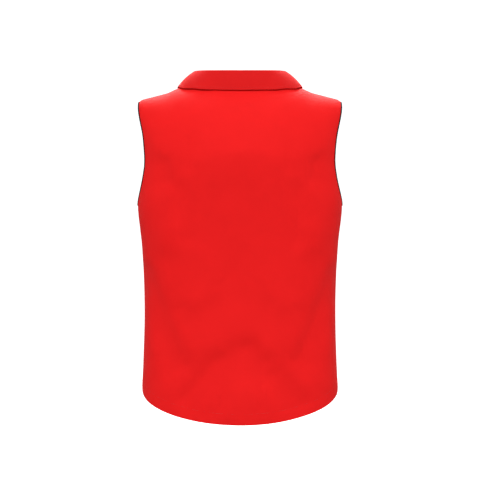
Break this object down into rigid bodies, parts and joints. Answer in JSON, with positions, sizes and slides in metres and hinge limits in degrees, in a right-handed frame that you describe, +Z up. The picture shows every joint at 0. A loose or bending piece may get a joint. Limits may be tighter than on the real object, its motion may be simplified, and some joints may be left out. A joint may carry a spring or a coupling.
{
  "type": "collared sleeveless vest",
  "caption": "Red sleeveless vest filled out as worn, with turned-down collar, bound armholes, button front and curved hem.",
  "frame": {"origin": "middle of the shoulder line, level with the points where the shoulder seams meet the neck, where the wearer's shoulders carry the vest", "axes": "+Z up, +Y towards the vest's back, +X towards the wearer's left"},
  "size_m": [0.4124, 0.2545, 0.6983],
  "materials": {
    "cloth": "fine plain weave with a faint sheen",
    "binding": "matt woven tape",
    "button": "polished"
  },
  "bodies": {
    "root": {"back": "cloth", "front_left": "cloth", "front_right": "cloth", "collar": "cloth", "armhole_binding_left": "binding", "armhole_binding_right": "binding", "button_1": "button", "button_2": "button", "button_3": "button", "button_4": "button", "button_5": "button"}
  },
  "joints": []
}
